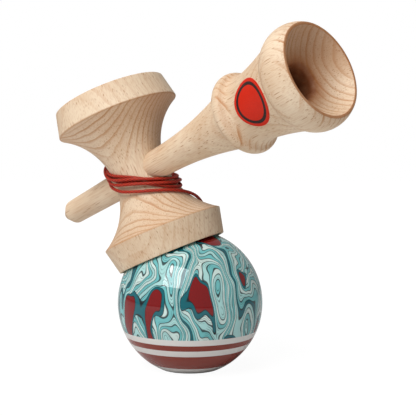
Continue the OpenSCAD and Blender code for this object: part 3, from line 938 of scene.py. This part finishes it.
def bead_place():
    """Heights of the bead's bottom and top under the ceiling of its pocket."""
    s = settings()
    top = ball_height() + s.ball.diameter / 2 - s.ball.top_wall - s.bead.play
    return top - s.bead.height, top


def bead_profile():
    """Closed outline of the bead: a ball cut flat at both ends, with a hole through it."""
    b = settings().bead
    low, high = bead_place()
    r, half = b.diameter / 2, b.height / 2
    middle = np.array([0, (low + high) / 2])
    flat = sqrt(r**2 - half**2)
    hole = b.hole_d / 2
    side = arc(middle, r, direction(middle, (flat, high)), direction(middle, (flat, low)), 30)
    under = line((flat, low), (hole, low))
    wall = line((hole, low), (hole, high), 6)
    over = line((hole, high), (flat, high))
    return joined([side, under, wall, over], [0.4, 0.4, 0.4, 0.4], closed=True)


# String


# Hole of the string in the cross-piece's frame: its place along X and Z, its pocket and mouth along Y
HOLE_X, HOLE_Z = 1, -5.4
POCKET_R, POCKET_FROM, POCKET_TO = 2.1, 2, 9.5
MOUTH_FROM, MOUTH_TO, MOUTH_FLARE, HOLE_END = 10, 11.6, 1.5, 14
# Knots: diameters, the waist knot's place along Y, and the other's drop under the bead
WAIST_KNOT_D, WAIST_KNOT_Y = 3.4, 7.71
BEAD_KNOT_D, BEAD_KNOT_DROP, BEAD_KNOT_TOP = 4.0, 2.0, 1.6
# Winding: start in degrees, turns between which it climbs, clearances, and each layer's wave, row and pitch
WIND_FROM = 96.0
CLIMB_FROM, CLIMB_TO = 1.9, 2.25
WIND_PLAY = 0.03
LAYER_STEP = 1.3
FLANK_SPREAD = 0.7
INNER_LOOP = (-1.98, -9.2, -1.22, 0.14, -1.56, -0.18, -0.13)
OUTER_LOOP = (-0.18, -8.18, 0.19, 1.1, -1.32, -0.46, 0.23)
INNER_ROW, INNER_PITCH = -1.0, 1.94
OUTER_ROW, OUTER_PITCH = 1.3, -1.8
# Routes before the winding, after it to the lip, under the lip, and above or below the ball's top on its axis
ANCHOR = np.array([[HOLE_X, 9.3, HOLE_Z], [HOLE_X, 10.9, HOLE_Z], [0.7, 12, -5.3], [0.2, 12.5, -4.6]])
LEAD = np.array([
    [1, -14.1, -5.5], [5.7, -12.8, -7.4], [9.8, -10.1, -9.1], [12.7, -6.8, -10.5], [14.8, -2.6, -12],
    [15.6, 2.2, -13.5], [15.1, 7, -15.1], [13.5, 11.7, -16.9], [10.9, 16.1, -18.9], [7.4, 20.3, -21.1],
    [4.2, 24, -22.7], [1.8, 26.4, -24.3], [0.2, 27.2, -26], [-0.5, 27.1, -28.3], [-0.9, 26.8, -30.8],
    [-0.9, 26.5, -33.5], [-0.9, 26.3, -36], [-0.7, 25.9, -37.3], [-0.4, 25.1, -38.1], [0, 24.1, -38.3],
])
UNDER_LIP = np.array([
    [0, 24.1, -38.3], [0, 23.3, -38.1], [-0.1, 22.5, -37.5], [0.2, 21.5, -36.4], [1.3, 19.6, -34.4],
    [3.3, 16.9, -32.2], [5.4, 13.9, -30.4], [7.3, 11.1, -28.9], [9.2, 8.7, -27.9], [10.4, 6.9, -27.6],
    [10.9, 5.6, -27.9],
])
INTO_BALL = (1.4, 0.2, -6)
# Points on each turn of the winding, and distance between the points of the finished string
TURN_POINTS, STRING_STEP = 24, 0.3


def wave(c, a):
    """Constant and the waves of one, two and three times an angle, each as a cosine and a sine."""
    turns = np.multiply.outer(np.arange(1, 4), a)
    return c[0] + np.tensordot(c[1::2], np.cos(turns), 1) + np.tensordot(c[2::2], np.sin(turns), 1)


def winding(f):
    """Loops about the waist at f turns: the height is a wave and a row, and half-way the string climbs to an
    outer layer whose loops are tilted another way and so cross the inner ones."""
    cord = settings().cord
    a = np.radians(WIND_FROM + 360 * f)
    share = np.clip((f - CLIMB_FROM) / (CLIMB_TO - CLIMB_FROM), 0, 1)
    share = share**2 * (3 - 2 * share)
    height = wave(INNER_LOOP, a) * (1 - share) + wave(OUTER_LOOP, a) * share
    row_in = INNER_ROW + INNER_PITCH * f
    row_out = OUTER_ROW + OUTER_PITCH * (f - CLIMB_TO)
    flank = np.sqrt(1 + (FLANK_SPREAD * np.sin(a)) ** 2)
    z = height + (row_in + (row_out - row_in) * share) * flank
    r = groove_radius(z) + WIND_PLAY + cord.diameter / 2 + share * LAYER_STEP
    return np.stack([r * np.cos(a), r * np.sin(a), z], axis=-1)


def knot(name, centre, axis, diameter, cord_r):
    """Overhand knot of plaited cord, a trefoil: (sin t + 2 sin 2t, cos t - 2 cos 2t, -1.3 sin 3t)."""
    t = np.linspace(0, 2 * pi, 161)
    size = (diameter / 2 - cord_r) / 3
    trefoil = [np.sin(t) + 2 * np.sin(2 * t), np.cos(t) - 2 * np.cos(2 * t), -1.3 * np.sin(3 * t)]
    axis = np.asarray(axis, float) / np.linalg.norm(axis)
    side = carried(ANY_SIDE, axis)
    path = size * np.stack(trefoil, axis=-1) @ np.stack([side, np.cross(axis, side), axis]) + centre
    return plaited_tube(name, path, run_along(path), cord_r, sides=12)


# Stage


# Lamps: a name, a place, a width and a height in metres, and watts
LAMPS = (
    ("key", (-0.40, -0.68, 0.82), 0.62, 0.66, 10.5),
    ("fill", (0.95, -0.55, 0.55), 0.8, 0.8, 0.1),
    ("top", (-0.25, 0.2, 1.15), 0.9, 0.9, 4.2),
)
LAMPS_AIM = Vector((0, 0, 0.06))
# Strength of the surroundings for plain light, for gloss and for the camera
SKY_PLAIN, SKY_GLOSS, SKY_SEEN = 0.13, 0.45, 1.0
FLOOR_HALF = 4000
FLOOR_GREY = (0.82, 0.82, 0.82)
FLOOR_GLOW = 1.06
# Share of the floor's glow near the ball and far from it, with both distances
GLOW_NEAR, GLOW_FAR = (60.0, 0.9), (220.0, 1.0)


# Operators


def dress(piece, material):
    """Gives a piece its material."""
    piece.data.materials.append(material)
    return piece


class KENDAMA_OT_stage(bpy.types.Operator):
    """Add the camera, the floor, the white surroundings and the soft lights"""

    bl_idname = "kendama.stage"
    bl_label = "Stage"

    def execute(self, context):
        stage = settings().stage
        scene = context.scene
        scene.view_settings.view_transform = "Standard"
        data = bpy.data.cameras.new("camera")
        data.lens = stage.lens
        data.sensor_width = 36
        data.clip_start = 0.01
        camera = bpy.data.objects.new("camera", data)
        camera.location = stage.eye
        camera.rotation_euler = (radians(stage.tilt), 0, 0)
        scene.collection.objects.link(camera)
        scene.camera = camera
        self.floor()
        self.world(scene)
        for lamp in LAMPS:
            self.softbox(scene, *lamp)
        return {"FINISHED"}

    def floor(self):
        """Square floor at height nought. The camera sees it white, with a share of its shading for shadow."""
        corners = FLOOR_HALF * np.array([(-1, -1, 0), (1, -1, 0), (1, 1, 0), (-1, 1, 0)])
        floor = new_piece("floor", corners, [[0, 1, 2, 3]], smooth=False)
        n = Nodes("white_floor")
        n.finish(Base_Color=FLOOR_GREY, Roughness=0.9, Specular_IOR_Level=0.1)
        seen = n.add("ShaderNodeLightPath", out="Is Camera Ray")
        glow = n.add("ShaderNodeEmission", {"Color": (1, 1, 1), "Strength": FLOOR_GLOW})
        away = n.size(n.place(np.eye(3), (0, 0, 0)))
        share = n.product(seen, n.ease(away, GLOW_NEAR[0], GLOW_FAR[0], GLOW_NEAR[1], GLOW_FAR[1]))
        mixed = n.add("ShaderNodeMixShader", {0: share, 1: n.shader.outputs[0], 2: glow})
        n.tree.links.new(mixed, n.tree.nodes["Material Output"].inputs["Surface"])
        floor.data.materials.append(n.material)

    def world(self, scene):
        """Dim light all round, which gloss reflects more brightly and the camera sees as white."""
        world = bpy.data.worlds.new("surroundings")
        world.use_nodes = True
        scene.world = world
        tree = world.node_tree
        sky = tree.nodes["Background"]
        path = tree.nodes.new("ShaderNodeLightPath")
        dim = tree.nodes.new("ShaderNodeMapRange")
        dim.inputs["To Min"].default_value = SKY_PLAIN
        dim.inputs["To Max"].default_value = SKY_GLOSS
        tree.links.new(path.outputs["Is Glossy Ray"], dim.inputs["Value"])
        level = tree.nodes.new("ShaderNodeMapRange")
        level.inputs["To Max"].default_value = SKY_SEEN
        tree.links.new(dim.outputs[0], level.inputs["To Min"])
        tree.links.new(path.outputs["Is Camera Ray"], level.inputs["Value"])
        tree.links.new(level.outputs[0], sky.inputs["Strength"])
        sky.inputs["Color"].default_value = (1, 1, 1, 1)

    def softbox(self, scene, name, place, width, height, watts):
        """Rectangular lamp that faces the object."""
        data = bpy.data.lights.new(name, "AREA")
        data.shape = "RECTANGLE"
        data.size = width
        data.size_y = height
        data.energy = watts
        lamp = bpy.data.objects.new(name, data)
        lamp.location = place
        lamp.rotation_euler = (LAMPS_AIM - lamp.location).to_track_quat("-Z", "Y").to_euler()
        scene.collection.objects.link(lamp)


class KENDAMA_OT_string(bpy.types.Operator):
    """Add the string: knotted in the waist, wound about it, led under the lip and into the ball"""

    bl_idname = "kendama.string"
    bl_label = "String"

    def execute(self, context):
        s = settings()
        cord_r = s.cord.diameter / 2
        material = plaited_cord()
        loops = winding(np.linspace(0, s.cord.turns, int(s.cord.turns * TURN_POINTS)))
        wound_path, wound_run = resampled(on_ball(np.vstack([ANCHOR, loops, LEAD])), STRING_STEP)
        ball_top = ball_height() + s.ball.diameter / 2
        knot_z = bead_place()[0] - BEAD_KNOT_DROP
        down = np.zeros((len(INTO_BALL) + 1, 3))
        down[:, 2] = [*np.add(INTO_BALL, ball_top), knot_z + BEAD_KNOT_TOP]
        free_path, free_run = resampled(np.vstack([on_ball(UNDER_LIP), down]), STRING_STEP)

        wound = plaited_tube("string_wound", wound_path, wound_run, cord_r)
        knot_at = on_ball(np.array([HOLE_X, WAIST_KNOT_Y, HOLE_Z]))
        waist_knot = knot("knot_in_waist", knot_at, cross_frame()[0][:, 1], WAIST_KNOT_D, cord_r)
        for piece in (wound, waist_knot):
            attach(dress(piece, material), "sarado")
        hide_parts("string_anchor", "string_winding", "string_lead")
        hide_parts("waist_knot")

        free = dress(plaited_tube("string_to_ball", free_path, free_run, cord_r), material)
        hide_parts("string_in_tama")
        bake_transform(free)
        bead_knot = knot("knot_under_bead", np.array([0, 0, knot_z]), (0, 0, 1), BEAD_KNOT_D, cord_r)
        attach(dress(bead_knot, material), "tether")
        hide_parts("bead_knot")

        return {"FINISHED"}


class KENDAMA_OT_ball(bpy.types.Operator):
    """Add the lacquered ball with its foot ring, hole and pocket"""

    bl_idname = "kendama.ball"
    bl_label = "Ball"

    def execute(self, context):
        points, faces = lathe(ball_profile(), segments=192, closed=True)
        piece = new_piece("ball", points, faces)
        crisp(piece, limit=40)
        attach(dress(piece, marbled_lacquer()), "tama")
        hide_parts("tama")
        return {"FINISHED"}


class KENDAMA_OT_bead(bpy.types.Operator):
    """Add the bead that stops the string inside the ball"""

    bl_idname = "kendama.bead"
    bl_label = "Bead"

    def execute(self, context):
        points, faces = lathe(bead_profile(), segments=64, closed=True)
        piece = new_piece("stop_bead", points, faces)
        crisp(piece, limit=50)
        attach(dress(piece, bead_wood()), "tether")
        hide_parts("bead")
        return {"FINISHED"}


# Half of the length of the handle's bore as it is cut
BORE_REACH = 24


class KENDAMA_OT_cross(bpy.types.Operator):
    """Add the cross-piece with its cups, the bore for the handle and the string's hole"""

    bl_idname = "kendama.cross"
    bl_label = "Cross-piece"

    def execute(self, context):
        points, faces = lathe(cross_profile(), segments=256)
        piece = new_piece("cross_piece", on_ball(points), faces)
        cut_by(piece, [self.bore(), self.string_hole()])
        crisp(piece, limit=40)
        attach(dress(piece, cross_beech()), "sarado")
        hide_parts("sarado")
        return {"FINISHED"}

    def bore(self):
        """Cone that repeats the handle's taper, with its clearance, through the waist and out of both sides."""
        h = settings().handle
        low, high = h.tip_l - h.spike_reach, h.grip_at
        t = np.linspace(-BORE_REACH, BORE_REACH, 3)
        r = h.spike_d / 2 + (h.grip_d - h.spike_d) / 2 * (t - low) / (high - low) + h.play
        profile = np.vstack([[0, t[0]], np.stack([r, t], axis=-1), [0, t[-1]]])
        points, faces = lathe(profile, segments=96)
        return new_piece("bore_cutter", on_ball(along_handle(points)), faces)

    def string_hole(self):
        """Hole for the string, wider inside for its knot and flared at its mouth."""
        r = settings().cross.string_hole_d / 2
        wide = r + MOUTH_FLARE
        profile = np.array([
            [0, POCKET_FROM], [POCKET_R, POCKET_FROM], [POCKET_R, POCKET_TO], [r, POCKET_TO],
            [r, MOUTH_FROM], [wide, MOUTH_TO], [wide, HOLE_END], [0, HOLE_END],
        ])
        points, faces = lathe(profile, segments=48)
        placed = np.stack([points[:, 0] + HOLE_X, points[:, 2], points[:, 1] + HOLE_Z], axis=-1)
        return new_piece("string_hole_cutter", on_ball(placed), faces)


class KENDAMA_OT_handle(bpy.types.Operator):
    """Add the handle with its spike, collar and base cup"""

    bl_idname = "kendama.handle"
    bl_label = "Handle"

    def execute(self, context):
        points, faces = lathe(handle_profile(), segments=192)
        piece = new_piece("handle", on_ball(along_handle(points)), faces)
        crisp(piece, limit=40)
        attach(dress(piece, handle_beech()), "ken")
        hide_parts("ken")
        return {"FINISHED"}


# Clearance of the sticker from the wood
LABEL_PLAY = 0.02


class KENDAMA_OT_label(bpy.types.Operator):
    """Add the round sticker, laid on the flare of the handle"""

    bl_idname = "kendama.label"
    bl_label = "Sticker"

    def execute(self, context):
        """A disc in the plane along the handle is carried on to the flare: a point that lies c across the plane
        rises to the root of the flare's radius squared less c squared. The rolled edge meets the wood."""
        h = settings().handle
        flat = h.label_d / 2 - h.label_t
        roll = np.linspace(0, pi / 2, 5)[1:]
        under = np.linspace(h.label_d / 2, 0, 12)[1:]
        over = np.linspace(0, flat, 28)
        out = np.concatenate([over, flat + h.label_t * np.sin(roll), under])
        lift = np.concatenate([0 * over + h.label_t, h.label_t * np.cos(roll), 0 * under]) + LABEL_PLAY
        points, faces = lathe(np.stack([out, lift], axis=-1), segments=96)
        t, across = h.label_at + points[:, 0], points[:, 1]
        rise = np.sqrt((flare_radius(t) + points[:, 2]) ** 2 - across**2)
        placed = np.stack([t, -rise, across], axis=-1) @ label_twist().T
        piece = new_piece("sticker", on_ball(placed), faces)
        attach(dress(piece, sticker_film()), "ken")
        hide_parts("label")
        return {"FINISHED"}


OPERATORS = (
    KENDAMA_OT_stage,
    KENDAMA_OT_bead,
    KENDAMA_OT_string,
    KENDAMA_OT_ball,
    KENDAMA_OT_cross,
    KENDAMA_OT_handle,
    KENDAMA_OT_label,
)


class KENDAMA_PT_panel(bpy.types.Panel):
    """Lists the kendama's pieces"""

    bl_idname = "KENDAMA_PT_panel"
    bl_label = "Kendama"
    bl_space_type = "VIEW_3D"
    bl_region_type = "UI"
    bl_category = "Kendama"

    def draw(self, context):
        for operator in OPERATORS:
            self.layout.operator(operator.bl_idname)


CLASSES = (
    BallSettings,
    BeadSettings,
    CrossSettings,
    HandleSettings,
    StringSettings,
    WoodSettings,
    StageSettings,
    KendamaSettings,
    *OPERATORS,
    KENDAMA_PT_panel,
)


def register():
    for cls in CLASSES:
        bpy.utils.register_class(cls)
    bpy.types.Scene.kendama = group("Kendama", KendamaSettings, "Sizes, colours and stage of the kendama")


def unregister():
    del bpy.types.Scene.kendama
    for cls in reversed(CLASSES):
        bpy.utils.unregister_class(cls)


def main():
    """Makes every piece in order."""
    register()
    bpy.ops.kendama.stage()
    bpy.ops.kendama.bead()
    bpy.ops.kendama.string()
    bpy.ops.kendama.ball()
    bpy.ops.kendama.cross()
    bpy.ops.kendama.handle()
    bpy.ops.kendama.label()


if __name__ == "__main__":
    main()
